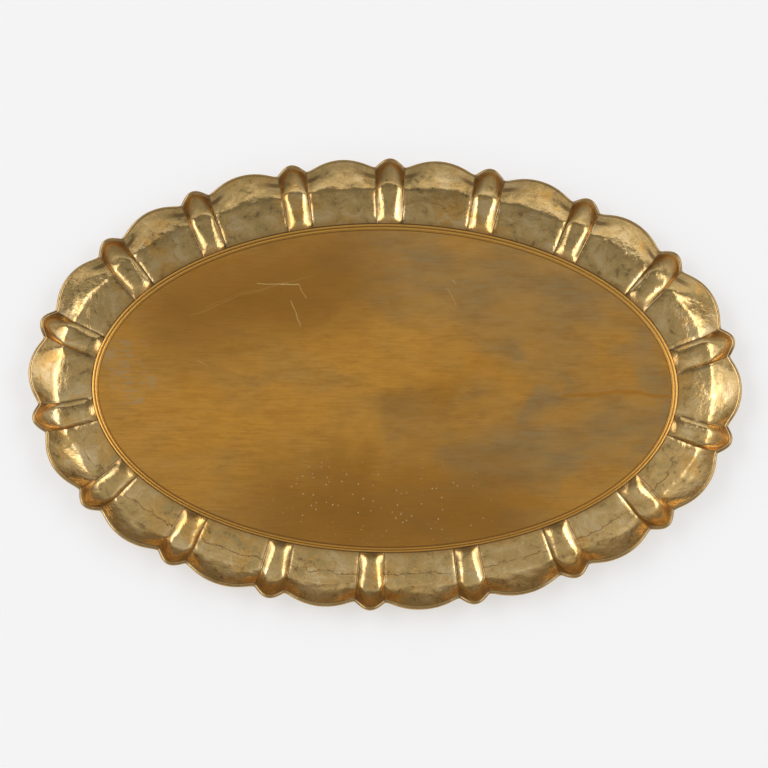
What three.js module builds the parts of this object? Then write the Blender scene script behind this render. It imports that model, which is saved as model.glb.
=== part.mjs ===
// An oval hammered brass tray: a flat well, a fine reeded step round it, and a sloping border of
// broad hollow panels parted by narrow spoon-ended flutes, with its edge rolled over a wire.
// Millimetres, +Z up. The origin is under the centre of the well, on the plane the tray rests on.
// X is the long axis and Y the short one.

import * as THREE from "three";

// Sheet and overall heights
const SHEET = 0.8;
const STEP_TOP = 3.0;
const BEAD_HEIGHT = 20.6;

// The oval that the border starts from, and how the border is divided
const RING_HALF_LENGTH = 243.6;
const RING_HALF_WIDTH = 139.2;
const FLUTES = 18;
const DIVIDING_OFFSET = 50;
const PATTERN_SHIFT = 6.2;
const PATTERN_DRIFT = 3.9;
const DRIFT_TURN = 1.12;

// How far the middle of the rolled edge lies outside the ring oval, and how much lower it runs
// in the notches beside each flute
const PANEL_REACH = 52.9;
const FLUTE_REACH = 53.2;
const NOTCH_REACH = 45.6;
const NOTCH_DIP = 2.4;
const PANEL_EDGE_RADIUS = 54;
const KNOB_HALF_WIDTH = 12.6;
const KNOB_ROUNDNESS = 1.15;
const NOTCH_SOFTNESS = 2.2;

// Flute half width at the ring and what it gains towards the rim, and the ridges beside it
const FLUTE_HALF_WIDTH = 9.8;
const FLUTE_WIDENING = 2.8;
const RIDGE_RISE = 0.9;
const RIDGE_SPREAD = 2.4;
const RIDGE_FALLOFF = 1.4;
const RIDGE_FULL_AT = 9;
const RIDGE_SOFTNESS = 0.4;

// Power of a flute's cross-section near the ring and near the rim: a higher one has a broader floor
const INNER_HOLLOW_POWER = 2.3;
const OUTER_HOLLOW_POWER = 4;

// Shares of the way out over which the hollow broadens, panels and flutes draw together to the
// height of the rim, the ridges fade, and the edge begins to dip into the notches
const HOLLOW_CHANGE = [0.15, 0.75];
const DRAW_TOGETHER = [0.6, 1];
const RIDGE_FADE = [0.8, 1];
const DIP_CHANGE = [0.45, 1];

// Rolled edge: outer radius of the bead, hidden wire, and the clearance between them
const BEAD_RADIUS = 1.6;
const WIRE_RADIUS = 0.5;
const ROLL_START = 135;
const ROLL_END = -150;
const ROLL_STEPS = 5;
const WIRE_SIDES = 6;

// Distance out from the ring at which the step gives way to the sloping border
const BORDER_START = 2.2;

// Slope in degrees at each distance out from the ring, for the middle of a panel and of a flute
const PANEL_SLOPES = [[2, 6], [30, 13.5], [32.5, 26], [52, 36]];
const FLUTE_SLOPES = [
  [2, -18], [6, -16], [9.5, 0], [12.5, 9], [32, 11],
  [34.5, 24], [40, 37], [46, 44], [49, 50], [52, 62],
];
const SLOPE_STEP = 0.1;

// The reeded step: distance from the ring oval and height, over the face and under it
const STEP_FACE = [[-2.8, 0.8], [-1.4, 2.1], [-0.3, 2.0], [0.9, 3.2], [1.7, 2.95]];
const STEP_BACK = [[-2.3, 0], [-0.6, 1.2], [1.4, 2.2]];

// Shares of the way from the step to the rolled edge at which the border is drawn
const FACE_ROWS = [0, 0.07, 0.17, 0.36, 0.56, 0.65, 0.78, 0.9, 1];
const BACK_ROWS = [0.92, 0.77, 0.6, 0.3, 0.07];

// Places across one flute, from ridge to ridge, and across one panel
const FLUTE_LANES = [-1, -0.6, 0, 0.6];
const PANEL_LANES = [0, 0.08, 0.5, 0.92];

const radians = THREE.MathUtils.degToRad;
const mix = THREE.MathUtils.lerp;
const ease = THREE.MathUtils.smoothstep;

function softLarger(a, b, softness) {
  return (a + b + Math.hypot(a - b, softness)) / 2;
}

function softSmaller(a, b, softness) {
  return (a + b - Math.hypot(a - b, softness)) / 2;
}

// Reads a value off a list of [place, value] pairs, with straight stretches between them.
function between(pairs, place) {
  let last = pairs[0];
  for (const pair of pairs) {
    if (place < pair[0]) {
      const share = (place - last[0]) / (pair[0] - last[0] || 1);
      return mix(last[1], pair[1], THREE.MathUtils.clamp(share, 0, 1));
    }
    last = pair;
  }
  return last[1];
}

// Adds up a list of slopes into heights from the step to a reach, scaled to end at the given rise.
function heightsFrom(slopes, reach, rise) {
  const step = SLOPE_STEP;
  const heights = [[BORDER_START, 0]];
  let height = 0;
  for (let place = BORDER_START + step; place <= reach + step / 2; place += step) {
    height += Math.tan(radians(between(slopes, place - step / 2))) * step;
    heights.push([place, height]);
  }
  return heights.map(([place, value]) => [place, (value * rise) / height]);
}

const SHEET_END_HEIGHT = BEAD_HEIGHT + BEAD_RADIUS * Math.sin(radians(ROLL_START));
const BORDER_RISE = SHEET_END_HEIGHT - STEP_TOP;
const SHEET_END_INSET = -BEAD_RADIUS * Math.cos(radians(ROLL_START));
const PANEL_END = PANEL_REACH - SHEET_END_INSET;
const FLUTE_END = FLUTE_REACH - SHEET_END_INSET;
const panelHeights = heightsFrom(PANEL_SLOPES, PANEL_END, BORDER_RISE);
const fluteHeights = heightsFrom(FLUTE_SLOPES, FLUTE_END, BORDER_RISE);

// Length of the ring oval per radian of its angle, and its curvature there
function ringSpeed(angle) {
  return Math.hypot(RING_HALF_LENGTH * Math.sin(angle), RING_HALF_WIDTH * Math.cos(angle));
}

function ringCurvature(angle) {
  return (RING_HALF_LENGTH * RING_HALF_WIDTH) / ringSpeed(angle) ** 3;
}

// Distance round the dividing line, which runs near the rim, against the angle of the oval
const ROUND_STEPS = 7200;
const travelled = [[0, 0]];
for (let i = 1; i <= ROUND_STEPS; i += 1) {
  const turn = (2 * Math.PI) / ROUND_STEPS;
  const middle = (i - 0.5) * turn;
  const speed = ringSpeed(middle) * (1 + ringCurvature(middle) * DIVIDING_OFFSET);
  travelled.push([travelled[i - 1][0] + speed * turn, i * turn]);
}
const ROUND = travelled[ROUND_STEPS][0];
const PITCH = ROUND / FLUTES;

function angleAt(place) {
  const wrapped = ((place % ROUND) + ROUND) % ROUND;
  let low = 0;
  let high = ROUND_STEPS;
  while (high - low > 1) {
    const middle = (low + high) >> 1;
    if (travelled[middle][0] > wrapped) {
      high = middle;
    } else {
      low = middle;
    }
  }
  const share = (wrapped - travelled[low][0]) / (travelled[high][0] - travelled[low][0]);
  return mix(travelled[low][1], travelled[high][1], share);
}

// Reach of the rolled edge at a distance across from the middle of the nearest flute
function reachAt(across) {
  const fromPanelMiddle = PITCH / 2 - Math.abs(across);
  const panelCentre = PANEL_REACH - PANEL_EDGE_RADIUS;
  const panel = panelCentre + Math.sqrt(Math.max(PANEL_EDGE_RADIUS ** 2 - fromPanelMiddle ** 2, 1));
  const share = Math.min(Math.abs(across) / KNOB_HALF_WIDTH, 1);
  const knob = NOTCH_REACH + (FLUTE_REACH - NOTCH_REACH) * Math.cos((share * Math.PI) / 2) ** KNOB_ROUNDNESS;
  return softLarger(panel, knob, NOTCH_SOFTNESS);
}

function fluteHalfWidth(out) {
  return FLUTE_HALF_WIDTH + (FLUTE_WIDENING * out) / PANEL_REACH;
}

// Height of the middle of the rolled edge where it has a given reach
function beadHeight(reach) {
  const dip = THREE.MathUtils.clamp((PANEL_REACH - reach) / (PANEL_REACH - NOTCH_REACH), 0, 1);
  return BEAD_HEIGHT - NOTCH_DIP * dip;
}

// Cross-section of a flute from its middle to its ridge, broader in the floor towards the rim
function hollow(lane, share) {
  return Math.abs(lane) ** mix(INNER_HOLLOW_POWER, OUTER_HOLLOW_POWER, ease(share, ...HOLLOW_CHANGE));
}

// Place of a flute's middle along the dividing line, where the flutes are not quite evenly set
function fluteMiddle(flute) {
  const turn = (flute + 0.5) / FLUTES;
  const drift = PATTERN_DRIFT * Math.cos(turn * 2 * Math.PI - DRIFT_TURN);
  return turn * ROUND - PATTERN_SHIFT + drift;
}

// One column of the border: the place along the rim where it meets the rolled edge
function makeColumn(flute, inFlute, lane) {
  const middle = fluteMiddle(flute);
  const pitch = fluteMiddle(flute + 1) - middle;
  const rimHalf = fluteHalfWidth(PANEL_REACH);
  const across = inFlute ? lane * rimHalf : rimHalf + lane * (pitch - 2 * rimHalf);
  const acrossNearest = across > pitch / 2 ? across - pitch : across;
  const nudge = 0.5;
  const lean = (reachAt(acrossNearest + nudge) - reachAt(acrossNearest - nudge)) / (2 * nudge);
  const angle = angleAt(middle + across);
  return {
    middle,
    pitch,
    inFlute,
    lane,
    reach: reachAt(acrossNearest),
    stretch: Math.hypot(1, lean),
    curvature: ringCurvature(angle),
    angle,
  };
}

// Point at a distance out from the ring, along the oval's own normal
function plan(angle, out) {
  const speed = ringSpeed(angle);
  const x = RING_HALF_LENGTH * Math.cos(angle) + (out * RING_HALF_WIDTH * Math.cos(angle)) / speed;
  const y = RING_HALF_WIDTH * Math.sin(angle) + (out * RING_HALF_LENGTH * Math.sin(angle)) / speed;
  return [x, y];
}

// A point on the face of the border: share is 0 at the step and 1 where the edge starts to roll
function borderPoint(column, share) {
  const out = mix(BORDER_START, column.reach - SHEET_END_INSET * column.stretch, share);
  const pull = ease(share, ...DRAW_TOGETHER);
  const panelOut = mix(out, mix(BORDER_START, PANEL_END, share), pull);
  const fluteOut = mix(out, mix(BORDER_START, FLUTE_END, share), pull);
  const fade = 1 - ease(share, ...RIDGE_FADE);
  const rise = RIDGE_RISE * ease(out, 0, RIDGE_FULL_AT) * fade;
  const ridge = STEP_TOP + between(panelHeights, panelOut) + rise;
  const floor = STEP_TOP + between(fluteHeights, fluteOut);
  const narrowing = (1 + column.curvature * out) / (1 + column.curvature * DIVIDING_OFFSET);
  const half = fluteHalfWidth(out);
  const panelWidth = column.pitch * narrowing - 2 * half;
  const across = column.inFlute ? column.lane * half : half + column.lane * panelWidth;
  const fromRidge = column.inFlute ? 0 : Math.min(column.lane, 1 - column.lane) * panelWidth;
  const panel = ridge - rise * (1 - Math.exp(-((fromRidge / RIDGE_SPREAD) ** RIDGE_FALLOFF)));
  const flute = floor + Math.max(ridge - floor, 0) * hollow(column.inFlute ? column.lane : 1, share);
  const height = column.inFlute ? softSmaller(flute, panel, RIDGE_SOFTNESS * fade) : panel;
  const dip = (BEAD_HEIGHT - beadHeight(column.reach)) * ease(share, ...DIP_CHANGE);
  const [x, y] = plan(angleAt(column.middle + across / narrowing), out);
  return new THREE.Vector3(x, y, height - dip);
}

// A point of the rolled edge, at an angle round its section
function rollPoint(column, radius, degrees) {
  const turn = radians(degrees);
  const out = column.reach + radius * Math.cos(turn) * column.stretch;
  const [x, y] = plan(column.angle, out);
  return new THREE.Vector3(x, y, beadHeight(column.reach) + radius * Math.sin(turn));
}

const columns = [];
for (let flute = 0; flute < FLUTES; flute += 1) {
  for (const lane of FLUTE_LANES) {
    columns.push(makeColumn(flute, true, lane));
  }
  for (const lane of PANEL_LANES) {
    columns.push(makeColumn(flute, false, lane));
  }
}

// The back of the sheet: a face point moved one sheet thickness along the face's normal
function backPoint(index, share) {
  const column = columns[index];
  const before = columns[(index + columns.length - 1) % columns.length];
  const after = columns[(index + 1) % columns.length];
  const nudge = 0.01;
  const outward = borderPoint(column, share + nudge).sub(borderPoint(column, share - nudge));
  const along = borderPoint(after, share).sub(borderPoint(before, share));
  const normal = outward.cross(along).normalize();
  return borderPoint(column, share).addScaledVector(normal, -SHEET);
}

// Section of the sheet in one column, from the well's face over the edge to the well's back
function sheetSection(index) {
  const column = columns[index];
  const points = [];
  for (const [out, height] of STEP_FACE) {
    const [x, y] = plan(column.angle, out);
    points.push(new THREE.Vector3(x, y, height));
  }
  for (const share of FACE_ROWS) {
    points.push(borderPoint(column, share));
  }
  for (let i = 1; i <= ROLL_STEPS; i += 1) {
    points.push(rollPoint(column, BEAD_RADIUS, mix(ROLL_START, ROLL_END, i / ROLL_STEPS)));
  }
  for (let i = ROLL_STEPS; i >= 0; i -= 1) {
    points.push(rollPoint(column, BEAD_RADIUS - SHEET, mix(ROLL_START, ROLL_END, i / ROLL_STEPS)));
  }
  for (const share of BACK_ROWS) {
    points.push(backPoint(index, share));
  }
  for (const [out, height] of STEP_BACK.toReversed()) {
    const [x, y] = plan(column.angle, out);
    points.push(new THREE.Vector3(x, y, height));
  }
  return points;
}

function wireSection(index) {
  const points = [];
  for (let i = 0; i < WIRE_SIDES; i += 1) {
    points.push(rollPoint(columns[index], WIRE_RADIUS, 90 - (360 * i) / WIRE_SIDES));
  }
  return points;
}

// Joins sections into one closed body. Open sections are closed by a flat face at each end.
function bodyFrom(sections, capped) {
  const size = sections[0].length;
  const positions = sections.flat().flatMap((point) => point.toArray());
  const triangles = [];
  const seams = capped ? size - 1 : size;
  sections.forEach((_, i) => {
    const here = i * size;
    const next = ((i + 1) % sections.length) * size;
    for (let j = 0; j < seams; j += 1) {
      const k = (j + 1) % size;
      triangles.push(here + j, here + k, next + j);
      triangles.push(here + k, next + k, next + j);
    }
  });
  if (capped) {
    for (let i = 1; i < sections.length - 1; i += 1) {
      triangles.push(0, i * size, (i + 1) * size);
      triangles.push(size - 1, (i + 2) * size - 1, (i + 1) * size - 1);
    }
  }
  const geometry = new THREE.BufferGeometry();
  geometry.setAttribute("position", new THREE.Float32BufferAttribute(positions, 3));
  geometry.setIndex(triangles);
  geometry.computeVertexNormals();
  return geometry;
}

const brass = new THREE.MeshStandardMaterial({ color: 0xb08a45, roughness: 0.3, metalness: 1 });
const wireBrass = new THREE.MeshStandardMaterial({ color: 0x9a7a3e, roughness: 0.5, metalness: 1 });

const indices = columns.map((_, index) => index);

const traySheet = new THREE.Mesh(bodyFrom(indices.map(sheetSection), true), brass);
traySheet.name = "tray_sheet";

const rimWire = new THREE.Mesh(bodyFrom(indices.map(wireSection), false), wireBrass);
rimWire.name = "rim_wire";

const tray = new THREE.Group();
tray.add(traySheet, rimWire);

export default tray;
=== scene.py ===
"""Visual model of an oval hammered brass tray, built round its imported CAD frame.

Sizes inside the shape functions are in millimetres, as in the CAD source; meshes are made in metres.
"""
import math

import bpy
import numpy as np
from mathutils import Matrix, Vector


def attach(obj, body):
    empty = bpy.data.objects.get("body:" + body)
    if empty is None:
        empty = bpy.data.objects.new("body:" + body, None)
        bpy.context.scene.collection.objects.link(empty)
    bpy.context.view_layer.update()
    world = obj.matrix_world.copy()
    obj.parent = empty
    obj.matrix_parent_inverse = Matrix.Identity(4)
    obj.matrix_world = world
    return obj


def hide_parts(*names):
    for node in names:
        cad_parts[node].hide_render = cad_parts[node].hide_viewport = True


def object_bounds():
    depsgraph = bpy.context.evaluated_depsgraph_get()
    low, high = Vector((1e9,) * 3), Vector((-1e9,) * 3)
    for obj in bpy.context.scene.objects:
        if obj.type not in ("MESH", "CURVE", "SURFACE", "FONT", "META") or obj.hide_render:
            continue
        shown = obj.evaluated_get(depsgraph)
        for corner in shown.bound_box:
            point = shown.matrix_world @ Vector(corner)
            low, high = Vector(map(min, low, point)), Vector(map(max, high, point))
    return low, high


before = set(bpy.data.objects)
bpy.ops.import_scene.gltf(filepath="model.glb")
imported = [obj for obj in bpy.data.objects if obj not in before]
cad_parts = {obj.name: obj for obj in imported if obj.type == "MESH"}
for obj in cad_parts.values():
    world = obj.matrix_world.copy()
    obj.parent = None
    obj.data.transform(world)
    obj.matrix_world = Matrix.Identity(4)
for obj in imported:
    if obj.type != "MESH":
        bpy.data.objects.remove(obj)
CAD_LOW, CAD_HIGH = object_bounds()

MM = 0.001

# ---------------------------------------------------------------- driving sizes, millimetres

SHEET = 0.8
WELL_FACE = SHEET
STEP_TOP = 3.0
BEAD_RADIUS = 1.6
WIRE_RADIUS = 0.5
BEAD_HEIGHT = CAD_HIGH.z / MM - BEAD_RADIUS

PANEL_REACH = 52.9
FLUTE_REACH = 53.2
NOTCH_REACH = 45.6
NOTCH_DIP = 2.4
PANEL_EDGE_RADIUS = 54.0
KNOB_HALF_WIDTH = 12.6
KNOB_ROUNDNESS = 1.15
NOTCH_SOFTNESS = 2.2

RING_HALF_LENGTH = 243.6
RING_HALF_WIDTH = 139.2
FLUTES = 18
DIVIDING_OFFSET = 50.0
PATTERN_SHIFT = 6.2
PATTERN_DRIFT = 3.9
DRIFT_TURN = math.radians(64)

FLUTE_HALF_WIDTH = 9.8
FLUTE_WIDENING = 2.8
RIDGE_RISE = 0.9
RIDGE_SPREAD = 2.4
RIDGE_FALLOFF = 1.4
RIDGE_FULL_AT = 9.0
RIDGE_SOFTNESS = 0.4
INNER_HOLLOW_POWER, OUTER_HOLLOW_POWER = 2.3, 4.0

# Shares of the way out over which the hollow broadens, panels and flutes draw together, the ridges
# fade, and the edge begins to dip into the notches
HOLLOW_CHANGE = (0.15, 0.75)
DRAW_TOGETHER = (0.6, 1.0)
RIDGE_FADE = (0.8, 1.0)
DIP_CHANGE = (0.45, 1.0)

ROLL_START, ROLL_END = 135.0, -150.0

STEP_START, BORDER_START = -2.8, 2.2
STEP_RISE_END = BORDER_START - 0.4
STEP_ROWS_FROM, STEP_ROWS_TO = STEP_START - 0.2, BORDER_START - 0.25

# The step's two reeds and the groove between them: place, half width and height
REEDS = ((-1.4, 0.95, 0.75), (1.0, 0.9, 0.5))
GROOVE = (-0.15, 0.4, 0.2)

# Slope in degrees at each distance out from the ring, for the middle of a panel and of a flute
PANEL_SLOPES = ((2, 6), (30, 13.5), (32.5, 26), (52, 36))
FLUTE_SLOPES = (
    (2, -18), (6, -16), (9.5, 0), (12.5, 9), (32, 11), (34.5, 24), (40, 37), (46, 44), (49, 50), (52, 62),
)

# Unevenness of the handwork, as a share of a flute's width and in millimetres along the rim
WIDTH_SPREAD = 0.05
PLACE_SPREAD = 0.8

# Hammer marks: cell and depth of the broad, middling and fine ones, and where they begin and end
HAMMER_CELLS = (34.0, 9.0, 4.2)
HAMMER_DEPTHS = (0.20, 0.060, 0.016)
HAMMER_START, HAMMER_END = (0.0, 0.12), (0.9, 1.0)

# How far the crease across the panels wanders, over the share of the way out where it lies
CREASE_DRIFT, CREASE_WOBBLE = 1.3, 0.8
CREASE_PLACE, CREASE_SPREAD = 0.6, 0.35

# How finely the sheet is drawn
FLUTE_COLUMNS, PANEL_COLUMNS = 24, 26
FLUTE_CROWDING, PANEL_CROWDING = 0.55, 0.75
WELL_ROWS, STEP_ROWS, BORDER_ROWS, BACK_ROWS = 5, 18, 44, 14
OUTER_ROLL_ROWS, INNER_ROLL_ROWS = 12, 7
WIRE_SIDES = 12
SLOPE_SAMPLES, SLOPE_SOFTENING = 1001, 41


# ---------------------------------------------------------------- small maths

def ease(low, high, x):
    t = np.clip((x - low) / (high - low), 0.0, 1.0)
    return t * t * (3.0 - 2.0 * t)


def mix(a, b, share):
    return a + (b - a) * share


def soft_larger(a, b, softness):
    return 0.5 * (a + b + np.hypot(a - b, softness))


def soft_smaller(a, b, softness):
    return 0.5 * (a + b - np.hypot(a - b, softness))


def hump(x, middle, half_width):
    """A single smooth bump of height 1."""
    u = np.clip((x - middle) / half_width, -1.0, 1.0)
    return np.cos(0.5 * math.pi * u) ** 2


class Ripple:
    """Smooth seeded noise over the plane, between about -1 and 1, with one feature per cell."""

    CELLS = 64

    def __init__(self, seed, cell):
        turn = np.random.default_rng(seed).random((self.CELLS, self.CELLS)) * 2 * math.pi
        self.gx, self.gy, self.cell = np.cos(turn), np.sin(turn), cell

    def __call__(self, x, y):
        x, y = x / self.cell, y / self.cell
        i, j = np.floor(x).astype(int), np.floor(y).astype(int)
        u, v = x - i, y - j

        def corner(a, b):
            at = (i + a) % self.CELLS, (j + b) % self.CELLS
            return self.gx[at] * (u - a) + self.gy[at] * (v - b)

        fu, fv = u**3 * (u * (u * 6 - 15) + 10), v**3 * (v * (v * 6 - 15) + 10)
        low = mix(corner(0, 0), corner(1, 0), fu)
        high = mix(corner(0, 1), corner(1, 1), fu)
        return 1.4 * mix(low, high, fv)


# ---------------------------------------------------------------- the oval and its division

def ring_speed(angle):
    """Length of the ring oval per radian of its angle."""
    return np.hypot(RING_HALF_LENGTH * np.sin(angle), RING_HALF_WIDTH * np.cos(angle))


def ring_curvature(angle):
    return RING_HALF_LENGTH * RING_HALF_WIDTH / ring_speed(angle) ** 3


_turns = np.linspace(0.0, 2.0 * math.pi, 7201)
_speeds = ring_speed(_turns) * (1.0 + ring_curvature(_turns) * DIVIDING_OFFSET)
_steps = 0.5 * (_speeds[1:] + _speeds[:-1]) * np.diff(_turns)
_travelled = np.concatenate([[0.0], np.cumsum(_steps)])
ROUND = _travelled[-1]
PITCH = ROUND / FLUTES


def angle_at(place):
    """Angle of the oval at a distance round the dividing line near the rim."""
    laps = np.floor(place / ROUND)
    return np.interp(place - laps * ROUND, _travelled, _turns) + laps * 2.0 * math.pi


def plan(angle, out):
    """Point at a distance out from the ring, along the oval's own normal."""
    speed = ring_speed(angle)
    x = RING_HALF_LENGTH * np.cos(angle) + out * RING_HALF_WIDTH * np.cos(angle) / speed
    y = RING_HALF_WIDTH * np.sin(angle) + out * RING_HALF_LENGTH * np.sin(angle) / speed
    return x, y


def heights_from(slopes, reach, rise):
    """Heights that these slopes add up to from the step to a reach, scaled to end at the given rise."""
    place = np.linspace(BORDER_START, reach, SLOPE_SAMPLES)
    slope = np.tan(np.radians(np.interp(place, *zip(*slopes))))
    padded = np.pad(slope, SLOPE_SOFTENING // 2, mode="edge")
    slope = np.convolve(padded, np.ones(SLOPE_SOFTENING) / SLOPE_SOFTENING, "valid")
    height = np.concatenate([[0.0], np.cumsum(0.5 * (slope[1:] + slope[:-1]) * np.diff(place))])
    return place, height * rise / height[-1]


SHEET_END_INSET = -BEAD_RADIUS * math.cos(math.radians(ROLL_START))
SHEET_END_HEIGHT = BEAD_HEIGHT + BEAD_RADIUS * math.sin(math.radians(ROLL_START))
BORDER_RISE = SHEET_END_HEIGHT - STEP_TOP
PANEL_END = PANEL_REACH - SHEET_END_INSET
FLUTE_END = FLUTE_REACH - SHEET_END_INSET
PANEL_HEIGHTS = heights_from(PANEL_SLOPES, PANEL_END, BORDER_RISE)
FLUTE_HEIGHTS = heights_from(FLUTE_SLOPES, FLUTE_END, BORDER_RISE)


def reach_at(across):
    """Reach of the rolled edge at a distance across from the middle of the nearest flute."""
    from_panel_middle = PITCH / 2 - np.abs(across)
    centre = PANEL_REACH - PANEL_EDGE_RADIUS
    panel = centre + np.sqrt(np.maximum(PANEL_EDGE_RADIUS**2 - from_panel_middle**2, 1.0))
    share = np.minimum(np.abs(across) / KNOB_HALF_WIDTH, 1.0)
    knob = NOTCH_REACH + (FLUTE_REACH - NOTCH_REACH) * np.cos(share * math.pi / 2) ** KNOB_ROUNDNESS
    return soft_larger(panel, knob, NOTCH_SOFTNESS)


def flute_half_width(out):
    return FLUTE_HALF_WIDTH + FLUTE_WIDENING * out / PANEL_REACH


def hollow(lane, share):
    """Cross-section of a flute from its middle to its ridge, broader in the floor towards the rim."""
    return np.abs(lane) ** mix(INNER_HOLLOW_POWER, OUTER_HOLLOW_POWER, ease(*HOLLOW_CHANGE, share))


def bead_height(reach):
    """Height of the rolled edge, which dips where it runs in beside a flute."""
    return BEAD_HEIGHT - NOTCH_DIP * np.clip((PANEL_REACH - reach) / (PANEL_REACH - NOTCH_REACH), 0, 1)


# ---------------------------------------------------------------- columns round the tray

def crowded(low, high, count, crowding):
    """Places from low up to high that lie closer together near both ends."""
    u = np.linspace(0.0, 1.0, count, endpoint=False)
    return low + (high - low) * (u - crowding * np.sin(2 * math.pi * u) / (2 * math.pi))


class Columns:
    """Every place round the tray where a section of the sheet is drawn, as arrays."""

    def __init__(self):
        chance = np.random.default_rng(41)
        widths = 1.0 + WIDTH_SPREAD * chance.uniform(-1, 1, FLUTES)
        turns = (np.arange(FLUTES) + 0.5) / FLUTES
        drift = PATTERN_DRIFT * np.cos(turns * 2 * math.pi - DRIFT_TURN)
        middles = turns * ROUND - PATTERN_SHIFT + drift
        middles += PLACE_SPREAD * chance.uniform(-1, 1, FLUTES)
        next_middles = np.append(middles[1:], middles[0] + ROUND)

        flute_lanes = crowded(-1.0, 1.0, FLUTE_COLUMNS, FLUTE_CROWDING)
        panel_lanes = crowded(0.0, 1.0, PANEL_COLUMNS, PANEL_CROWDING)
        lanes = np.concatenate([flute_lanes, panel_lanes])
        flute = np.repeat(np.arange(FLUTES), len(lanes))
        self.lane = np.tile(lanes, FLUTES)
        self.in_flute = np.tile(np.arange(len(lanes)) < FLUTE_COLUMNS, FLUTES)
        self.middle = middles[flute]
        self.pitch = (next_middles - middles)[flute]
        self.width = widths[flute]
        self.next_width = np.roll(widths, -1)[flute]

        across = self.across(PANEL_REACH, 1.0)
        nearest = np.where(across > self.pitch / 2, across - self.pitch, across)
        nudge = 0.2
        lean = (reach_at(nearest + nudge) - reach_at(nearest - nudge)) / (2 * nudge)
        self.reach = reach_at(nearest)
        self.stretch = np.hypot(1.0, lean)
        self.angle = angle_at(self.middle + across)
        self.curvature = ring_curvature(self.angle)
        self.count = len(self.lane)

    def across(self, out, narrowing):
        """Distance of each column from the middle of its flute, at a distance out from the ring."""
        half = flute_half_width(out) * self.width
        return np.where(self.in_flute, self.lane * half, half + self.lane * self.panel(out, narrowing))

    def panel(self, out, narrowing):
        return self.pitch * narrowing - flute_half_width(out) * (self.width + self.next_width)

    def from_ridge(self, out, narrowing):
        """Distance of each column from the nearest ridge."""
        in_flute = (1 - np.abs(self.lane)) * flute_half_width(out) * self.width
        in_panel = np.minimum(self.lane, 1 - self.lane) * self.panel(out, narrowing)
        return np.where(self.in_flute, in_flute, in_panel)


COLUMNS = Columns()

hammer_marks = [Ripple(seed, cell) for seed, cell in zip((11, 12, 13), HAMMER_CELLS)]
crease_drift = Ripple(14, 17.0)
crease_wobble = Ripple(15, 6.0)


def hammered(x, y, strength):
    """Height of the hammer marks at a point of the face."""
    return strength * sum(depth * marks(x, y) for depth, marks in zip(HAMMER_DEPTHS, hammer_marks))


def border(share):
    """Face of the border, row by row: share is 0 at the step and 1 where the edge rolls."""
    c = COLUMNS
    share = share[:, None]
    out = mix(BORDER_START, (c.reach - SHEET_END_INSET * c.stretch)[None, :], share)
    narrowing = (1 + c.curvature * out) / (1 + c.curvature * DIVIDING_OFFSET)
    own_angle = angle_at(c.middle + c.across(out, narrowing) / narrowing)
    x, y = plan(mix(own_angle, c.angle, ease(*RIDGE_FADE, share)), out)

    pull = ease(*DRAW_TOGETHER, share)
    wobble = CREASE_DRIFT * crease_drift(x, y) + CREASE_WOBBLE * crease_wobble(x, y)
    wobble = wobble * hump(share, CREASE_PLACE, CREASE_SPREAD)
    panel_out = mix(out, mix(BORDER_START, PANEL_END, share), pull) + wobble
    flute_out = mix(out, mix(BORDER_START, FLUTE_END, share), pull) + wobble
    fade = 1.0 - ease(*RIDGE_FADE, share)
    rise = RIDGE_RISE * ease(0.0, RIDGE_FULL_AT, out) * fade
    from_ridge = c.from_ridge(out, narrowing)
    ridge = STEP_TOP + np.interp(panel_out, *PANEL_HEIGHTS) + rise
    floor = STEP_TOP + np.interp(flute_out, *FLUTE_HEIGHTS)
    away = np.where(c.in_flute, 0.0, from_ridge)
    panel = ridge - rise * (1 - np.exp(-((away / RIDGE_SPREAD) ** RIDGE_FALLOFF)))
    lane = np.where(c.in_flute, c.lane, 1.0)
    flute = floor + np.maximum(ridge - floor, 0.0) * hollow(lane, share)
    height = np.where(c.in_flute, soft_smaller(flute, panel, RIDGE_SOFTNESS * fade), panel)
    height = height - (BEAD_HEIGHT - bead_height(c.reach)) * ease(*DIP_CHANGE, share)
    strength = ease(*HAMMER_START, share) * (1 - ease(*HAMMER_END, share))
    points = np.stack([x, y, height + hammered(x, y, strength)], axis=-1)
    facts = {
        "out": np.broadcast_to(out, x.shape),
        "ridge": from_ridge,
        "flute": np.broadcast_to(c.in_flute * 1.0, x.shape),
        "share": np.broadcast_to(share, x.shape),
    }
    return points, facts


def step_height(out):
    """Face of the reeded step between the well and the border."""
    rise = WELL_FACE + (STEP_TOP - WELL_FACE) * ease(STEP_START, STEP_RISE_END, out)
    reeds = sum(height * hump(out, place, half) for place, half, height in REEDS)
    place, half, depth = GROOVE
    return rise + reeds - depth * hump(out, place, half)


def step(outs):
    c = COLUMNS
    x, y = plan(c.angle[None, :], outs[:, None])
    z = np.broadcast_to(step_height(outs)[:, None], x.shape)
    return np.stack([x, y, z], axis=-1)


def well(outer):
    """Rings of points from near the middle of the well to its outer row."""
    shares = np.linspace(0.1, 1.0, WELL_ROWS + 1)[:-1, None, None]
    return outer[None, :, :] * [1, 1, 0] * shares + [0, 0, WELL_FACE]


def roll(radius, angles):
    """Rows of the rolled edge round its own section."""
    c = COLUMNS
    turn = np.radians(angles)[:, None]
    out = c.reach[None, :] + radius * np.cos(turn) * c.stretch[None, :]
    x, y = plan(np.broadcast_to(c.angle, out.shape), out)
    z = bead_height(c.reach)[None, :] + radius * np.sin(turn)
    return np.stack([x, y, z], axis=-1)


def normals(points):
    down = np.gradient(points, axis=0)
    along = np.roll(points, -1, axis=1) - np.roll(points, 1, axis=1)
    n = np.cross(down, along)
    return n / np.linalg.norm(n, axis=-1, keepdims=True)


# ---------------------------------------------------------------- meshes

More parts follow.
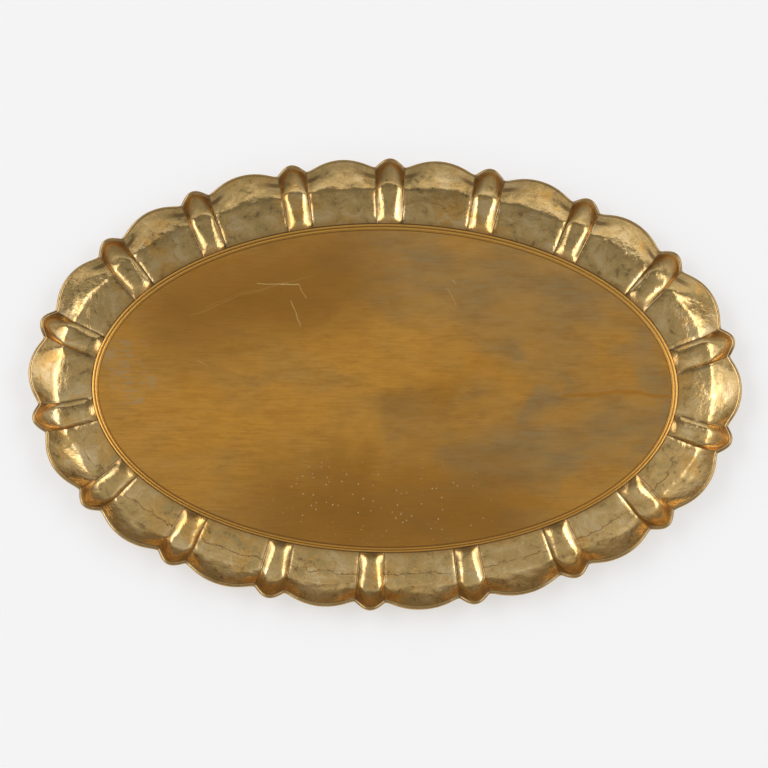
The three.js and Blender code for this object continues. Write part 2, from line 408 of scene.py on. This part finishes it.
def grid_faces(rows, columns, start=0, wrap_rows=False):
    """Quads joining rows of points that each go right round."""
    r = np.arange(rows if wrap_rows else rows - 1)[:, None] * columns
    i = np.arange(columns)[None, :]
    j = (i + 1) % columns
    below = (r + columns) % (rows * columns)
    quads = np.stack([r + i, below + i, below + j, r + j], axis=-1)
    return (quads + start).reshape(-1, 4)


def make_object(name, points, faces, extra_faces=(), facts=()):
    mesh = bpy.data.meshes.new(name)
    mesh.from_pydata((points * MM).tolist(), [], faces.tolist() + list(extra_faces))
    mesh.shade_smooth()
    for fact, values in dict(facts).items():
        layer = mesh.attributes.new(fact, "FLOAT", "POINT")
        layer.data.foreach_set("value", np.ascontiguousarray(values, dtype=np.float32))
    made = bpy.data.objects.new(name, mesh)
    bpy.context.scene.collection.objects.link(made)
    return made


# A distance beyond any that the shader asks about, millimetres
FAR = 99.0


def plain_facts(rows, out, share):
    """Facts for rows that are neither flute nor panel."""
    size = (rows, COLUMNS.count)
    return {
        "out": np.broadcast_to(np.reshape(out, (-1, 1)), size),
        "ridge": np.full(size, FAR),
        "flute": np.zeros(size),
        "share": np.full(size, share),
    }


def make_tray():
    c = COLUMNS
    step_outs = np.linspace(STEP_ROWS_FROM, STEP_ROWS_TO, STEP_ROWS)
    step_rows = step(step_outs)
    well_rows = well(step_rows[0])
    border_rows, border_facts = border(np.linspace(0.0, 1.0, BORDER_ROWS))
    outer_roll = roll(BEAD_RADIUS, np.linspace(ROLL_START, ROLL_END, OUTER_ROLL_ROWS)[1:])
    inner_roll = roll(BEAD_RADIUS - SHEET, np.linspace(ROLL_END, ROLL_START, INNER_ROLL_ROWS))

    top = np.concatenate([well_rows, step_rows, border_rows])
    top_facts = [
        plain_facts(WELL_ROWS, -FAR, -1.0),
        plain_facts(STEP_ROWS, step_outs, -0.1),
        border_facts,
    ]
    back_all = top[:-1] - SHEET * normals(top)[:-1]
    back_all[..., 2] = np.maximum(back_all[..., 2], 0.0)
    back_all[:WELL_ROWS, :, 2] = 0.0
    keep = np.concatenate([
        np.arange(0, WELL_ROWS, 2),
        np.arange(WELL_ROWS, WELL_ROWS + STEP_ROWS, 3),
        np.linspace(WELL_ROWS + STEP_ROWS, len(back_all) - 1, BACK_ROWS).round().astype(int),
    ])[::-1]

    facts = {}
    for fact in border_facts:
        top_fact = np.concatenate([part[fact] for part in top_facts])
        rolled = np.broadcast_to(top_fact[-1], (len(outer_roll) + len(inner_roll), c.count))
        by_row = np.concatenate([top_fact, rolled, top_fact[keep]])
        facts[fact] = np.append(by_row.ravel(), [-FAR, -FAR])

    rows = np.concatenate([top, outer_roll, inner_roll, back_all[keep]])
    points = np.concatenate([rows.reshape(-1, 3), [[0, 0, WELL_FACE], [0, 0, 0]]])
    centre_top = len(points) - 2
    centre_back = len(points) - 1
    last = (len(rows) - 1) * c.count
    fans = []
    for i in range(c.count):
        j = (i + 1) % c.count
        fans.append((centre_top, i, j))
        fans.append((centre_back, last + j, last + i))
    upper = (len(top) + len(outer_roll) + len(inner_roll)) * c.count
    facts["face"] = np.zeros(len(points))
    facts["face"][:upper] = 1.0
    facts["face"][centre_top] = 1.0
    return make_object("tray", points, grid_faces(len(rows), c.count), fans, facts)


def make_wire():
    rows = roll(WIRE_RADIUS, np.linspace(360, 0, WIRE_SIDES, endpoint=False))
    faces = grid_faces(len(rows), COLUMNS.count, wrap_rows=True)
    return make_object("wire", rows.reshape(-1, 3), faces)


tray = make_tray()
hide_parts("tray_sheet")
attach(tray, "root")

wire = make_wire()
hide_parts("rim_wire")
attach(wire, "root")


# ---------------------------------------------------------------- shader helpers

class Graph:
    """Short calls that add shader nodes to one tree."""

    def __init__(self, tree):
        self.nodes, self.links = tree.nodes, tree.links

    def add(self, kind, **settings):
        node = self.nodes.new(kind)
        for key, value in settings.items():
            setattr(node, key, value)
        return node

    def feed(self, socket, value):
        if isinstance(value, bpy.types.NodeSocket):
            self.links.new(value, socket)
        else:
            socket.default_value = value

    def maths(self, operation, *values):
        node = self.add("ShaderNodeMath", operation=operation)
        for socket, value in zip(node.inputs, values):
            self.feed(socket, value)
        return node.outputs[0]

    def product(self, *values):
        result = values[0]
        for value in values[1:]:
            result = self.maths("MULTIPLY", result, value)
        return result

    def inverse(self, value):
        return self.maths("SUBTRACT", 1.0, value)

    def vector(self, operation, *values, output="Vector"):
        node = self.add("ShaderNodeVectorMath", operation=operation)
        for socket, value in zip(node.inputs, values):
            self.feed(socket, value)
        return node.outputs[output]

    def ramp(self, value, low, high, start=0.0, end=1.0):
        node = self.add("ShaderNodeMapRange", interpolation_type="SMOOTHSTEP")
        self.feed(node.inputs["Value"], value)
        node.inputs["From Min"].default_value = low
        node.inputs["From Max"].default_value = high
        node.inputs["To Min"].default_value = start
        node.inputs["To Max"].default_value = end
        return node.outputs[0]

    def band(self, value, low, high, soft):
        return self.product(self.ramp(value, low - soft, low + soft),
                            self.inverse(self.ramp(value, high - soft, high + soft)))

    def profile(self, value, stops):
        """Brightness read off a table of (place, brightness)."""
        low, high = stops[0][0], stops[-1][0]
        tallest = max(height for _, height in stops)
        place = self.add("ShaderNodeMapRange")
        self.feed(place.inputs["Value"], value)
        place.inputs["From Min"].default_value = low
        place.inputs["From Max"].default_value = high
        node = self.add("ShaderNodeValToRGB")
        self.feed(node.inputs[0], place.outputs[0])
        elements = node.color_ramp.elements
        elements[0].position, elements[-1].position = 0.0, 1.0
        for at, _ in stops[1:-1]:
            elements.new((at - low) / (high - low))
        for element, (_, height) in zip(elements, stops):
            element.color = (height / tallest, height / tallest, height / tallest, 1.0)
        return self.maths("MULTIPLY", node.outputs[0], tallest)

    def part(self, vector, axis):
        """One coordinate of a vector: 0 for x, 1 for y and 2 for z."""
        unit = [0.0, 0.0, 0.0]
        unit[axis] = 1.0
        return self.vector("DOT_PRODUCT", vector, unit, output="Value")

    def noise(self, vector, scale, detail=2.0, roughness=0.5, distortion=0.0, output=0):
        node = self.add("ShaderNodeTexNoise")
        self.feed(node.inputs["Vector"], vector)
        node.inputs["Scale"].default_value = scale
        node.inputs["Detail"].default_value = detail
        node.inputs["Roughness"].default_value = roughness
        node.inputs["Distortion"].default_value = distortion
        return node.outputs[output]

    def stretched(self, vector, cells, detail, roughness, distortion=0.0):
        """Noise with its own number of cells per unit along each axis."""
        return self.noise(self.vector("MULTIPLY", vector, cells), 1.0, detail, roughness, distortion)

    def blend(self, mask, a, b, mode="MIX"):
        node = self.add("ShaderNodeMix", data_type="RGBA", blend_type=mode)
        self.feed(node.inputs[0], mask)
        for socket, value in ((node.inputs[6], a), (node.inputs[7], b)):
            self.feed(socket, value if isinstance(value, bpy.types.NodeSocket) else (*value, 1.0))
        return node.outputs[2]

    def fact(self, name):
        return self.add("ShaderNodeAttribute", attribute_name=name).outputs["Fac"]

    def near_line(self, place, start, end, half_width):
        """1 on the line from start to end, falling to 0 at half_width beside it."""
        run = (end[0] - start[0], end[1] - start[1], 0.0)
        length_squared = run[0] ** 2 + run[1] ** 2
        from_start = self.vector("SUBTRACT", place, (*start, 0.0))
        along = self.vector("DOT_PRODUCT", from_start, run, output="Value")
        share = self.add("ShaderNodeMath", operation="MULTIPLY", use_clamp=True)
        self.feed(share.inputs[0], along)
        share.inputs[1].default_value = 1 / length_squared
        foot = self.add("ShaderNodeVectorMath", operation="SCALE")
        foot.inputs[0].default_value = run
        self.feed(foot.inputs["Scale"], share.outputs[0])
        gap = self.vector("DISTANCE", from_start, foot.outputs[0], output="Value")
        return self.ramp(gap, 0.0, half_width, 1.0, 0.0)

    def marks(self, where, table):
        """The strongest of a table of soft lines: start, end, half width and strength."""
        strongest = 0.0
        for start, end, half_width, strength in table:
            mark = self.product(self.near_line(where, start, end, half_width), strength)
            strongest = self.maths("MAXIMUM", strongest, mark)
        return strongest

    def clouds(self, where, table):
        """The same for a table without strengths."""
        return self.marks(where, [(*row, 1.0) for row in table])


# ---------------------------------------------------------------- brass of the sheet

WELL_BRASS = (0.75, 0.385, 0.083)
WELL_GLOW = (0.92, 0.46, 0.080)
WELL_OLIVE = (0.46, 0.330, 0.150)
WELL_BROWN = (0.41, 0.185, 0.034)
WELL_ORANGE = (0.85, 0.39, 0.050)
BORDER_BRASS = (0.79, 0.53, 0.205)
BORDER_ORANGE = (0.82, 0.45, 0.11)
BORDER_OLIVE = (0.60, 0.43, 0.17)
# Tarnish for stains, spots and the underside, also used as painted shade in the wedges beside the upper
# notches
TARNISH_AND_SHADE = (0.25, 0.145, 0.06)
# Painted shade: the brown of the steep flute tips, also used for stains near the edge, and the darker brown
# at the tips' edges
SHADED_TIP_AND_EDGE_STAIN = (0.62, 0.41, 0.165)
TIP_EDGE_SHADE = (0.29, 0.175, 0.085)
STEP_FOOT = (0.46, 0.235, 0.065)
RING_BRASS = (0.86, 0.48, 0.105)
RING_GROOVE = (0.21, 0.100, 0.032)
PALE_MARK = (0.95, 0.74, 0.40)
STREAK_ORANGE = (0.62, 0.255, 0.030)
SCRATCH_GOLD = (1.0, 0.76, 0.30)
LABEL_TRACE = (0.62, 0.50, 0.30)
UNDERSIDE_BRASS = (0.60, 0.385, 0.125)
UNDERSIDE_DULL = (0.44, 0.265, 0.085)
WIRE_BRASS = (0.60, 0.47, 0.25)
WIRE_DULL = (0.45, 0.30, 0.13)

# Broad clouds and smears of colour in the well: start, end and half width, millimetres
OLIVE_CLOUDS = (((0, 118), (150, 70), 78), ((70, -66), (220, -30), 42), ((215, 40), (235, -20), 34))
BROWN_CLOUDS = (((-70, -112), (80, -114), 92), ((-165, 66), (-50, 96), 84))
BROWN_SMEARS = (((-40, -50), (-34, -104), 30), ((-112, 68), (-66, 62), 26), ((60, -8), (20, -14), 34))
GLOW_CLOUDS = (((-200, -20), (-40, -50), 75), ((-120, 40), (20, 30), 60))

# Marks in the well: start, end, half width and strength
PALE_SCRATCHES = (
    ((-107, 90), (-88, 88.2), 0.5, 0.8),
    ((-88, 88.2), (-74, 89), 0.7, 0.9),
    ((-74, 89), (-68, 76), 0.55, 0.5),
    ((-79.5, 73.5), (-72, 52), 0.55, 0.6),
    ((51, 86.5), (57, 71.5), 0.55, 0.5),
    ((56, 95), (58, 92), 0.7, 0.6),
    ((-158, 21), (-150, 17), 0.6, 0.4),
    ((-165, 62), (-84, 90), 0.7, 0.16),
    ((-150, 70), (-60, 98), 0.6, 0.12),
    ((-20, 60), (70, 66), 0.6, 0.10),
)
DARK_STREAKS = (
    ((150, -3.5), (238, -4.7), 2.8, 0.75),
    ((150, 48), (212, 44), 1.2, 0.25),
    ((-60, -15), (-10, -18), 1.2, 0.2),
)


# Cells per millimetre, along and across the tray, of the patterns in the well
BRUSHING = (0.028, 0.62, 1.0)
COARSE_BRUSHING = (0.035, 0.11, 1.0)
SPECKLES = (0.075, 0.30, 1.0)
HAZE = (0.022, 0.05, 1.0)
PATCHES = (0.0192, 0.036, 1.0)
FLOW = (0.011, 0.019, 1.0)

# The same for patterns that are alike in every direction
DRIFT_CELLS = 0.022
SPATTER_CELLS = 0.24
TINT_CELLS, MOTTLE_CELLS, STAIN_CELLS, SPOT_CELLS, DENT_CELLS = 0.022, 0.060, 0.13, 0.6, 0.30

# How far the drift carries the clouds and bends the scratches, millimetres
CLOUD_DRIFT = (110.0, 60.0, 0.0)
SCRATCH_DRIFT = (14.0, 14.0, 0.0)

# The spatter's line and its half width, and the label trace's extent each way with its soft edge
SPATTER_LINE = ((-60, -92), (60, -100), 52)
LABEL_LENGTH, LABEL_BREADTH = (-232, -200, 2.5), (-20, 38, 2.0)

# Distances out from the ring at which stains on the border fade, and the wandering seam
PANEL_FOOT, FLUTE_FOOT = (2.0, 8.5), (4.0, 10.0)
SEAM, SEAM_SOFTNESS, SEAM_WANDER = (21.4, 22.2), 0.35, 16.0

# Dark lines of the step, out from the ring
FIRST_LINE, MIDDLE_LINE, LAST_LINE = (-3.2, -2.3, 0.25), (-0.4, 0.35, 0.2), (1.9, 3.0, 0.3)

# Depths of the fine relief, metres
DENT_DEPTH = 0.00021
BRUSHING_DEPTH = 0.00001


class SheetPlaces:
    """Where each point of the sheet lies, and the patterns that several parts of it share."""

    def __init__(self, g):
        metres = g.add("ShaderNodeTexCoord").outputs["Object"]
        self.place = g.vector("MULTIPLY", metres, (1000.0, 1000.0, 1000.0))
        self.flat = g.vector("MULTIPLY", metres, (1000.0, 1000.0, 0.0))
        facts = ("out", "ridge", "flute", "share", "face")
        self.out, self.ridge, self.flute, self.share, self.face = (g.fact(name) for name in facts)
        self.on_border = g.ramp(self.out, 2.0, 2.6)

        self.drift = g.vector("SUBTRACT", g.noise(self.flat, DRIFT_CELLS, 4.0, output=1), (0.5, 0.5, 0.5))
        self.adrift = g.vector("ADD", self.flat, g.vector("MULTIPLY", self.drift, CLOUD_DRIFT))
        self.drifted_x = g.part(self.adrift, 0)
        self.y = g.part(self.flat, 1)

        self.grain = g.stretched(self.flat, BRUSHING, 3.0, 0.7)
        self.mottle = g.noise(self.place, MOTTLE_CELLS, 5.0, 0.62, 0.6)
        self.stains = g.noise(self.place, STAIN_CELLS, 5.0, 0.66, 0.5)
        self.at_tip = g.product(self.flute, g.ramp(self.share, 0.62, 0.98))


def well_colour(g, at):
    """Orange-brown, finely brushed along its length, clouded with patina."""
    patches = g.stretched(at.flat, PATCHES, 5.0, 0.65, 0.6)
    flow = g.stretched(at.adrift, FLOW, 4.0, 0.55, 0.3)
    glow = g.clouds(at.adrift, GLOW_CLOUDS)
    patchy_olive = g.ramp(patches, 0.45, 0.85, 0.0, 0.5)
    olive = g.maths("MAXIMUM", g.product(g.clouds(at.adrift, OLIVE_CLOUDS), 0.95), patchy_olive)
    olive_flow = g.product(g.ramp(flow, 0.46, 0.70), g.ramp(at.drifted_x, -60.0, 130.0, 0.22, 0.80))
    well = g.blend(g.product(glow, 0.9), WELL_BRASS, WELL_GLOW)
    well = g.blend(olive_flow, well, WELL_OLIVE)
    well = g.blend(g.ramp(flow, 0.32, 0.54, 0.75, 0.0), well, WELL_ORANGE)
    well = g.blend(g.product(glow, 0.35), well, WELL_GLOW)
    well = g.blend(g.product(olive, 0.9), well, WELL_OLIVE)

    coarse_grain = g.stretched(at.flat, COARSE_BRUSHING, 4.0, 0.6, 0.4)
    speckle = g.stretched(at.flat, SPECKLES, 4.0, 0.7)
    haze = g.stretched(at.flat, HAZE, 3.0, 0.55)
    well = g.blend(g.ramp(coarse_grain, 0.40, 0.70, 0.0, 0.30), well, WELL_BROWN)
    well = g.blend(g.ramp(at.grain, 0.40, 0.66, 0.0, 0.40), well, WELL_BROWN)
    well = g.blend(g.ramp(speckle, 0.44, 0.66, 0.0, 0.30), well, WELL_BROWN)
    well = g.blend(g.ramp(haze, 0.30, 0.70, 0.35, 0.0), well, WELL_GLOW)
    well = g.blend(g.product(g.clouds(at.flat, BROWN_CLOUDS), 0.76), well, WELL_BROWN)
    well = g.blend(g.product(g.clouds(at.adrift, BROWN_SMEARS), 0.38), well, WELL_BROWN)

    shaky = g.vector("ADD", at.flat, g.vector("MULTIPLY", at.drift, SCRATCH_DRIFT))
    well = g.blend(g.marks(shaky, DARK_STREAKS), well, STREAK_ORANGE)
    well = g.blend(g.marks(shaky, PALE_SCRATCHES), well, SCRATCH_GOLD)
    well = g.blend(spatter(g, at), well, PALE_MARK)
    label = g.product(g.band(at.drifted_x, *LABEL_LENGTH), g.band(at.y, *LABEL_BREADTH))
    label = g.product(label, g.ramp(speckle, 0.48, 0.60), 0.4)
    return g.blend(label, well, LABEL_TRACE)


def spatter(g, at):
    """Small dried drops low in the well."""
    dots = g.add("ShaderNodeTexVoronoi")
    g.feed(dots.inputs["Vector"], at.flat)
    dots.inputs["Scale"].default_value = SPATTER_CELLS
    chosen = g.ramp(g.part(dots.outputs["Color"], 0), 0.42, 0.48)
    drops = g.ramp(dots.outputs["Distance"], 0.09, 0.19, 1.0, 0.0)
    return g.product(drops, chosen, g.near_line(at.flat, *SPATTER_LINE))


def border_colour(g, at):
    """Paler brass with orange and olive patches and dark stains, darker along the ridges, with painted shade
    on the flute tips and in wedges beside the upper notches.
    """
    tint = g.noise(at.place, TINT_CELLS, 4.0, 0.65, 0.6)
    spots = g.noise(at.place, SPOT_CELLS, 4.0, 0.75)
    dark_stains = g.product(g.ramp(at.stains, 0.50, 0.68), g.ramp(at.mottle, 0.42, 0.62), 0.8)
    rim = g.blend(g.ramp(tint, 0.48, 0.66, 0.0, 0.85), BORDER_BRASS, BORDER_ORANGE)
    rim = g.blend(g.ramp(at.mottle, 0.47, 0.66, 0.0, 0.85), rim, BORDER_OLIVE)
    rim = g.blend(dark_stains, rim, TARNISH_AND_SHADE)
    rim = g.blend(g.ramp(spots, 0.52, 0.76, 0.0, 0.4), rim, TARNISH_AND_SHADE)
    rim = g.blend(g.ramp(at.mottle, 0.34, 0.50, 0.55, 0.0), rim, PALE_MARK)

    # A hairline seam along the lower panels
    wander = g.product(g.maths("SUBTRACT", at.mottle, 0.5), SEAM_WANDER)
    seam = g.band(g.maths("ADD", at.out, wander), *SEAM, SEAM_SOFTNESS)
    seam = g.product(seam, g.ramp(at.y, -75.0, -40.0, 1.0, 0.0), g.inverse(at.flute))
    rim = g.blend(g.product(seam, g.ramp(tint, 0.36, 0.50), 0.85), rim, TARNISH_AND_SHADE)

    # The foot of the panels, less so at the two ends of the tray
    toward_ends = g.ramp(g.maths("ABSOLUTE", at.drifted_x), 190.0, 240.0, 1.0, 0.2)
    rim = g.blend(g.product(g.ramp(at.out, *PANEL_FOOT, 0.5, 0.0), toward_ends), rim, STEP_FOOT)

    # Flutes: painted shade on the tips, darker towards the tip edges, and a dark foot
    rim = g.blend(g.product(at.at_tip, 0.6), rim, SHADED_TIP_AND_EDGE_STAIN)
    rim = g.blend(g.product(at.at_tip, g.ramp(at.ridge, 2.0, 9.0, 0.85, 0.0)), rim, TIP_EDGE_SHADE)
    rim = g.blend(g.product(at.flute, g.ramp(at.out, *FLUTE_FOOT, 0.55, 0.0)), rim, STEP_FOOT)

    # Darker rolled edge, painted shade in wedges beside the upper notches, and darker lines along the ridges
    rim = g.blend(g.ramp(at.share, 0.985, 0.999, 0.0, 0.45), rim, TARNISH_AND_SHADE)
    # Painted shade: dark wedges in the steep corners beside the upper notches
    shade_wedge = g.product(g.ramp(at.ridge, 5.0, 17.0, 1.0, 0.0), g.band(at.share, 0.855, 0.92, 0.014))
    shade_wedge = g.product(shade_wedge, g.inverse(at.flute), g.ramp(at.y, 30.0, 90.0), 0.8)
    rim = g.blend(shade_wedge, rim, TARNISH_AND_SHADE)
    near_edge = g.product(g.ramp(at.share, 0.93, 1.0), g.ramp(at.mottle, 0.35, 0.55), 0.35)
    rim = g.blend(near_edge, rim, SHADED_TIP_AND_EDGE_STAIN)
    # Darker along the ridges, less so towards the rim
    ridge_darkening = g.product(g.ramp(at.ridge, 0.3, 1.5, 1.0, 0.0), g.ramp(at.out, 0.0, 3.0))
    ridge_darkening = g.product(ridge_darkening, g.ramp(at.mottle, 0.30, 0.55, 0.5, 0.85), g.ramp(at.share, 0.62, 0.80, 1.0, 0.35))
    return g.blend(ridge_darkening, rim, TARNISH_AND_SHADE)


def with_step(g, at, colour):
    """Adds the bright step with its three dark lines."""
    on_step = g.band(at.out, STEP_START, BORDER_START, 0.2)
    colour = g.blend(g.product(on_step, 0.85), colour, RING_BRASS)
    lines = g.maths("MAXIMUM", g.band(at.out, *FIRST_LINE), g.band(at.out, *LAST_LINE))
    lines = g.maths("MAXIMUM", lines, g.product(g.band(at.out, *MIDDLE_LINE), 0.85))
    return g.blend(g.product(lines, 0.9), colour, RING_GROOVE)


def underside_colour(g, at):
    """Plain dull brass, with none of the marks of the face."""
    under = g.blend(g.ramp(at.mottle, 0.36, 0.64), UNDERSIDE_BRASS, UNDERSIDE_DULL)
    return g.blend(g.ramp(at.stains, 0.54, 0.72, 0.0, 0.5), under, TARNISH_AND_SHADE)


def sheet_brass():
    mat = bpy.data.materials.new("sheet_brass")
    mat.use_nodes = True
    g = Graph(mat.node_tree)
    shader = mat.node_tree.nodes["Principled BSDF"]
    shader.inputs["Metallic"].default_value = 1.0
    at = SheetPlaces(g)

    upper = with_step(g, at, g.blend(at.on_border, well_colour(g, at), border_colour(g, at)))
    g.feed(shader.inputs["Base Color"], g.blend(at.face, underside_colour(g, at), upper))

    smoothness = g.ramp(at.mottle, 0.35, 0.7, 0.09, 0.19)
    rough = g.add("ShaderNodeMix", data_type="FLOAT")
    g.feed(rough.inputs[0], at.on_border)
    g.feed(rough.inputs[2], g.ramp(at.grain, 0.3, 0.75, 0.27, 0.36))
    g.feed(rough.inputs[3], g.maths("ADD", smoothness, g.product(at.at_tip, 0.06)))
    g.feed(shader.inputs["Roughness"], rough.outputs[0])

    dents = g.product(at.on_border, g.noise(at.place, DENT_CELLS, 3.0, 0.6), DENT_DEPTH)
    brushing = g.product(g.inverse(at.on_border), at.grain, BRUSHING_DEPTH)
    bump = g.add("ShaderNodeBump")
    bump.inputs["Distance"].default_value = 1.0
    g.feed(bump.inputs["Height"], g.maths("ADD", dents, brushing))
    g.links.new(bump.outputs[0], shader.inputs["Normal"])
    return mat


def wire_brass():
    mat = bpy.data.materials.new("wire_brass")
    mat.use_nodes = True
    g = Graph(mat.node_tree)
    shader = mat.node_tree.nodes["Principled BSDF"]
    shader.inputs["Metallic"].default_value = 1.0
    metres = g.add("ShaderNodeTexCoord").outputs["Object"]
    drawn = g.noise(metres, 900.0, 3.0)
    g.feed(shader.inputs["Base Color"], g.blend(drawn, WIRE_BRASS, WIRE_DULL))
    g.feed(shader.inputs["Roughness"], g.ramp(drawn, 0.3, 0.7, 0.3, 0.45))
    return mat


tray.data.materials.append(sheet_brass())
wire.data.materials.append(wire_brass())

# ---------------------------------------------------------------- floor and studio light

# Metres. The floor lies just clear of the underside, so that no two faces share a plane.
FLOOR_SIZE = 8
FLOOR_CLEARANCE = 0.0002
FLOOR_GREY = (0.42, 0.42, 0.42)
FLOOR_GLOW = (1.0, 0.995, 0.975)
FLOOR_GLOW_STRENGTH = 0.56

bpy.ops.mesh.primitive_plane_add(size=FLOOR_SIZE)
floor = bpy.context.object
floor.name = "floor"
floor.location.z = -FLOOR_CLEARANCE
floor_mat = bpy.data.materials.new("floor")
floor_mat.use_nodes = True
floor_shader = floor_mat.node_tree.nodes["Principled BSDF"]
floor_shader.inputs["Base Color"].default_value = (*FLOOR_GREY, 1)
floor_shader.inputs["Emission Color"].default_value = (*FLOOR_GLOW, 1)
floor_shader.inputs["Emission Strength"].default_value = FLOOR_GLOW_STRENGTH
floor.data.materials.append(floor_mat)

STUDIO_BRIGHTNESS = 1.22
UNEVENNESS = 0.22
DIM_END_TINT = (1.0, 0.88, 0.78)
SIDE_TINT = (0.99, 1.0, 1.10)

# Share of the full brightness against the direction to the right, degrees
LATERAL = ((-90, 1.12), (-20, 1.15), (-5, 1.0), (4, 1.0), (30, 0.87), (90, 0.87))

# Brightness of the studio against the tilt from straight up towards the viewer's side, degrees
FRONT_AND_BACK = (
    (-90, 0.155), (-80, 0.165), (-74, 0.245), (-66, 0.37), (-45, 0.47), (-43, 0.32), (-41.5, 0.32),
    (-39.5, 0.43), (-30, 0.41), (-13, 0.33), (0, 0.29), (15, 0.215), (27, 0.16), (36.5, 0.16),
    (39, 0.68), (50, 0.50), (60, 0.37), (75, 0.28), (90, 0.25),
)
# The same against the tilt to either side
SIDES = (
    (0, 0.4), (20, 0.50), (26, 0.67), (31, 2.15), (44, 2.2), (52, 1.12), (64, 0.74), (78, 0.60), (90, 0.4),
)

# Where the side light takes over from the other: its directions to the side, and its tilts with
# their soft edge. The same for the dim patches in the corners between the two.
SIDE_START, SIDE_TILTS = (18, 28), (-42, 19, 12.0)
CORNER_SIDES, CORNER_TILTS, CORNER_BRIGHTNESS = (17, 46, 4.0), (-64, -40, 6.0), 0.47
DIM_END = (-80, -64)


def studio():
    world = bpy.data.worlds.new("studio")
    bpy.context.scene.world = world
    world.use_nodes = True
    world.node_tree.nodes.clear()
    g = Graph(world.node_tree)
    direction = g.add("ShaderNodeTexCoord").outputs["Generated"]
    x, y, z = (g.part(direction, axis) for axis in range(3))
    degrees = 180 / math.pi
    tilt = g.product(g.maths("ARCTAN2", g.product(y, -1.0), z), degrees)
    rightward = g.product(g.maths("ARCSINE", x), degrees)
    side = g.maths("ABSOLUTE", rightward)
    lateral = g.profile(rightward, LATERAL)
    ahead = g.profile(tilt, FRONT_AND_BACK)
    beside = g.profile(side, SIDES)
    share = g.product(g.ramp(side, *SIDE_START), g.band(tilt, *SIDE_TILTS))
    light = g.add("ShaderNodeMix", data_type="FLOAT")
    g.feed(light.inputs[0], share)
    g.feed(light.inputs[2], ahead)
    g.feed(light.inputs[3], beside)
    corners = g.product(g.band(side, *CORNER_SIDES), g.band(tilt, *CORNER_TILTS), CORNER_BRIGHTNESS)
    light = g.maths("MAXIMUM", light.outputs[0], corners)
    ripples = g.noise(direction, 5.0, 3.0, 0.6)
    uneven = g.ramp(ripples, 0.3, 0.7, 1.0 - UNEVENNESS, 1.0 + UNEVENNESS)
    background = g.add("ShaderNodeBackground")
    g.feed(background.inputs["Strength"], g.product(light, uneven, lateral, STUDIO_BRIGHTNESS))
    colour = g.blend(g.ramp(tilt, *DIM_END, 1.0, 0.0), (1, 1, 1), DIM_END_TINT)
    g.feed(background.inputs["Color"], g.blend(share, colour, SIDE_TINT))
    output = g.add("ShaderNodeOutputWorld")
    g.links.new(background.outputs[0], output.inputs[0])


studio()

# ---------------------------------------------------------------- camera

CAMERA_TILT = math.radians(13)
CAMERA_ROLL = math.radians(0.65)
CAMERA_DISTANCE = 4.0
CAMERA_AIM = (-0.0008, 0.0031)
FRAME_WIDTH = 0.6450


def place_camera():
    data = bpy.data.cameras.new("camera")
    camera = bpy.data.objects.new("camera", data)
    bpy.context.scene.collection.objects.link(camera)
    back = CAMERA_DISTANCE * math.sin(CAMERA_TILT)
    up = CAMERA_DISTANCE * math.cos(CAMERA_TILT)
    aim_x, aim_y = CAMERA_AIM
    camera.location = (aim_x + back * math.sin(CAMERA_ROLL), aim_y - back * math.cos(CAMERA_ROLL), up)
    camera.rotation_euler = (CAMERA_TILT, 0, CAMERA_ROLL)
    data.sensor_width = 36
    data.lens = data.sensor_width * CAMERA_DISTANCE / FRAME_WIDTH
    bpy.context.scene.camera = camera


place_camera()
bpy.context.scene.view_settings.view_transform = "Standard"
